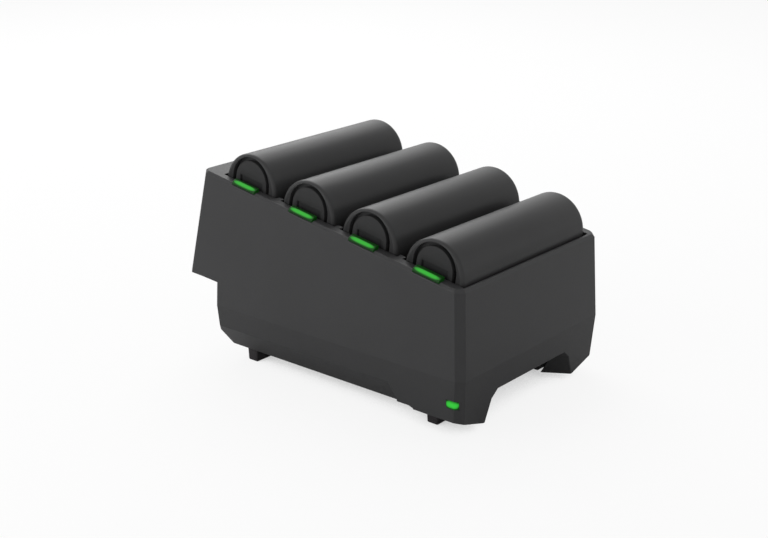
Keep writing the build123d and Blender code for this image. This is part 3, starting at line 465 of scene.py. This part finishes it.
# Contact blocks
# Black glass-filled blocks that stand on the charging board, one in the window of each bay.
# On top each carries four bowed springs, punched from strip and gold-plated.
block_plastic = moulded_plastic("block_plastic", (0.018, 0.018, 0.018), 0.6, 1600, 0.0001)
contact_gold = plated_metal("contact_gold", (0.80, 0.58, 0.24), 0.25, 0.85)
for number in range(1, 5):
    dress(nodes[f"contact_block_{number}"], block_plastic)
    dress(nodes[f"contact_springs_{number}"], contact_gold)


# Ribbon cable
# A flat grey ribbon of bonded wires, folded between the two boards, with a plug at each end.
# The wires show as ridges along it.
def ribbed_ribbon(name, pitch):
    """Bonded wires side by side, each a ridge with a valley beside it; the valleys are coloured darker, painted
    shade in the creases.
    """
    finish, tree, shader, place = blank_finish(name)
    ribs = tree.nodes.new("ShaderNodeTexWave")
    ribs.wave_type = "BANDS"
    ribs.bands_direction = "Y"
    ribs.inputs["Scale"].default_value = radians(360) / 20 / pitch
    tree.links.new(place, ribs.inputs["Vector"])
    # The darker grey in the valleys between the wires is painted shade.
    greys_with_painted_valley_shade = tones(tree, ribs.outputs["Fac"], (0.0, (0.20, 0.205, 0.215)), (0.5, (0.42, 0.43, 0.45)))
    tree.links.new(greys_with_painted_valley_shade, shader.inputs["Base Color"])
    tree.links.new(remap(tree, speckle(tree, place, 120, 3), 0.3, 0.7, 0.35, 0.5), shader.inputs["Roughness"])
    tree.links.new(relief(tree, ribs.outputs["Fac"], 0.0003), shader.inputs["Normal"])
    return finish


dress(nodes["ribbon_cable"], ribbed_ribbon("ribbon_grey", 0.00127))

# Upper housing
# The upper half is moulded in the same charcoal ABS and carries the sloping deck with its four bays.
# It is screwed to the lower half from below; its outer edges and the bays' rims are slightly rounded.
upper_draft, low_end_draft, bay_rim_depth = tan(radians(1.9)), tan(radians(3.0)), 0.0057


def over_deck(x, z):
    """Height of a place over the deck's surface."""
    return (x - rim_x) * sin(tilt) + (z - rim_z) * cos(tilt)


def on_upper_outside(x, y, z):
    """True on the deck, the bays' rims and ridges, and the outer walls."""
    above = z - seam
    side = half_depth - above * upper_draft
    wall = abs(y) > side - slack or x > low_end - above * low_end_draft - slack
    wall = wall or x < high_end + slack / 2 + above * upper_draft
    return over_deck(x, z) > -bay_rim_depth or (wall and above > slack / 2)


upper = welded_copy("upper_housing", "upper_shell", cut=True)
round_edges(upper, on_upper_outside, edge_rounding, 2)
dress(upper, moulded_plastic("charcoal_upper", (0.036, 0.036, 0.037), 0.50, 1800, 0.00010, 0.25))
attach(upper, "charger")
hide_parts("upper_housing")

# Light bars
# Clear green mouldings clipped into slots of the rim, one beside each bay, lit through a pipe from below.
# The sloped front glows along its middle; the top, the ends and the borders are dark green.
bay_pitch, last_bay, glow_height, glow_inset = 0.0325, 0.0171, 0.0009, 0.00075
head_depth, head_back = 0.0007, -0.0440
for number in range(1, 5):
    back = last_bay + bay_pitch * (4 - number)
    low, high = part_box(f"light_bar_{number}")
    middle = (
        rim_x - back * cos(tilt) + glow_height * sin(tilt), low.y + glow_inset,
        rim_z + back * sin(tilt) + glow_height * cos(tilt))
    lens = welded_copy(f"light_bar_{number}", f"bar_lens_{number}")
    round_edges(lens, lambda x, y, z: over_deck(x, z) > -head_depth and y < head_back, edge_rounding, 3)
    dress(lens, lit_plastic(
        f"bar_green_{number}", (0.030, 0.42, 0.030), (0.0010, 0.040, 0.0010),
        middle, tilt, (0.0058, 0.00085, 0.00085)))
    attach(lens, "charger")
    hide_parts(f"light_bar_{number}")

# Screws
# Pan-head screws with a cross drive, zinc-plated steel: four from below through the housings,
# and seven that hold the two boards to their posts.
zinc = plated_metal("zinc_plate", (0.52, 0.52, 0.53), 0.35, 0.75)
for node in ("housing_screws", "board_screws"):
    dress(nodes[node], zinc)


# Packs
# Four sealed cylinders of satin charcoal plastic, each a tube welded to two caps, with gold pads below.
# The near cap has an arched groove round a thumb tab with a coarser grain and a scooped pocket in it; the tab's
# darker colour is painted shade.
pack_length, pack_radius = 0.0846, 0.0141
near_end = -pack_length / 2
groove_rise, groove_radius, groove_width, groove_depth, groove_foot = 0.0028, 0.0095, 0.0017, 0.0024, 0.0058
pocket_top, pocket_low, pocket_half, pocket_depth, pocket_slope = 0.004, -0.010, 0.0074, 0.0021, 0.0014
pocket_floor_share, past_face = 0.8, 0.001
flat_y, flat_length, flat_drop = 0.018, 0.009, 0.013


def groove_cutter():
    """Tool for the arched groove: a section swung over the tab, with both ends drawn down."""
    bpy.ops.mesh.primitive_plane_add(size=1)
    tool = bpy.context.object
    tool.scale = (groove_width, groove_depth + past_face, 1)
    middle = near_end + (groove_depth - past_face) / 2
    tool.location = (groove_radius, middle, groove_rise)
    bpy.ops.object.transform_apply(location=True, rotation=True, scale=True)
    bpy.ops.object.mode_set(mode="EDIT")
    bpy.ops.mesh.select_all(action="SELECT")
    bpy.ops.mesh.spin(steps=48, angle=radians(180), center=(0, middle, groove_rise), axis=(0, 1, 0))
    bpy.ops.object.mode_set(mode="OBJECT")
    for side in (-1, 1):
        select_near(tool, "FACE", lambda x, y, z: x * side > 0 and abs(z - groove_rise) < 0.00001)
        bpy.ops.mesh.extrude_region_move(TRANSFORM_OT_translate={"value": (0, 0, -groove_foot)})
        bpy.ops.object.mode_set(mode="OBJECT")
    bpy.ops.object.mode_set(mode="EDIT")
    bpy.ops.mesh.select_all(action="SELECT")
    bpy.ops.mesh.normals_make_consistent(inside=False)
    bpy.ops.object.mode_set(mode="OBJECT")
    return tool


def box_cutter(low, high):
    """Plain block from its lowest to its highest corner."""
    bpy.ops.mesh.primitive_cube_add(size=1)
    tool = bpy.context.object
    tool.scale = [b - a for a, b in zip(low, high)]
    tool.location = [(a + b) / 2 for a, b in zip(low, high)]
    bpy.ops.object.transform_apply(location=True, rotation=True, scale=True)
    return tool


def cut_away(piece, tool):
    """Cuts a tool's shape out of a piece, and removes the tool."""
    bpy.ops.object.select_all(action="DESELECT")
    piece.select_set(True)
    bpy.context.view_layer.objects.active = piece
    bpy.ops.object.modifier_add(type="BOOLEAN")
    cut = piece.modifiers[-1]
    cut.operation = "DIFFERENCE"
    cut.solver = "EXACT"
    cut.object = tool
    bpy.ops.object.modifier_apply(modifier=cut.name)
    bpy.data.objects.remove(tool)


near_rounding, far_rounding, face_radius, mouth_rounding = 0.0015, 0.003, 0.0115, 0.0002
bpy.ops.object.select_all(action="DESELECT")
bpy.ops.mesh.primitive_cylinder_add(
    vertices=128, radius=pack_radius, depth=pack_length, rotation=(radians(90), 0, 0))
shell = bpy.context.object
bpy.ops.object.transform_apply(location=True, rotation=True, scale=True)
for end_y, rounding in ((near_end, near_rounding), (-near_end, far_rounding)):
    select_near(shell, "EDGE", lambda x, y, z: abs(y - end_y) < 0.00001)
    bpy.ops.mesh.bevel(offset=rounding, segments=8, affect="EDGES")
    bpy.ops.object.mode_set(mode="OBJECT")
pocket = box_cutter(
    (-pocket_half, near_end - 2 * past_face, pocket_low), (pocket_half, near_end + pocket_depth, pocket_top))
select_near(pocket, "FACE", lambda x, y, z: y > near_end)
bpy.ops.transform.resize(value=(pocket_floor_share, 1, 1))
bpy.ops.object.mode_set(mode="OBJECT")
select_near(pocket, "EDGE", lambda x, y, z: y > near_end and z > 0)
bpy.ops.transform.translate(value=(0, -pocket_slope, 0))
bpy.ops.object.mode_set(mode="OBJECT")
flat = box_cutter(
    (-pack_radius, flat_y - flat_length / 2, -2 * pack_radius),
    (pack_radius, flat_y + flat_length / 2, -flat_drop))
for tool in (groove_cutter(), pocket, flat):
    cut_away(shell, tool)
select_near(
    shell, "EDGE", lambda x, y, z: abs(y - near_end) < 0.00001 and x * x + z * z < face_radius ** 2)
bpy.ops.mesh.bevel(offset=mouth_rounding, segments=2, affect="EDGES", clamp_overlap=False)
bpy.ops.object.mode_set(mode="OBJECT")
bpy.ops.object.shade_smooth_by_angle(angle=radians(35))
dress(shell, moulded_plastic("pack_shell", (0.049, 0.049, 0.0495), 0.36, 2200, 0.00006, 0.11))
# The thumb tab's darker colour is painted shade; its coarser grain and rougher gloss are its own finish.
shell.data.materials.append(moulded_plastic("thumb_tab_painted_shade", (0.030, 0.030, 0.0305), 0.6, 1300, 0.00012, 0.15))
tab_radius = groove_radius - groove_width / 2
for face in shell.data.polygons:
    x, y, z = face.center
    if y < near_end + groove_depth + 0.0001 and x * x + (z - groove_rise) ** 2 < tab_radius ** 2:
        face.material_index = 1
for number in range(1, 5):
    pack = bpy.data.objects.new(f"pack_shell_{number}", shell.data.copy())
    bpy.context.scene.collection.objects.link(pack)
    low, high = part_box(f"battery_{number}")
    move_in_place(pack, (low + high) / 2, (0, tilt, 0))
    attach(pack, f"battery_{number}")
    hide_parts(f"battery_{number}")
    dress(nodes[f"battery_{number}_contacts"], contact_gold)
bpy.data.objects.remove(shell)
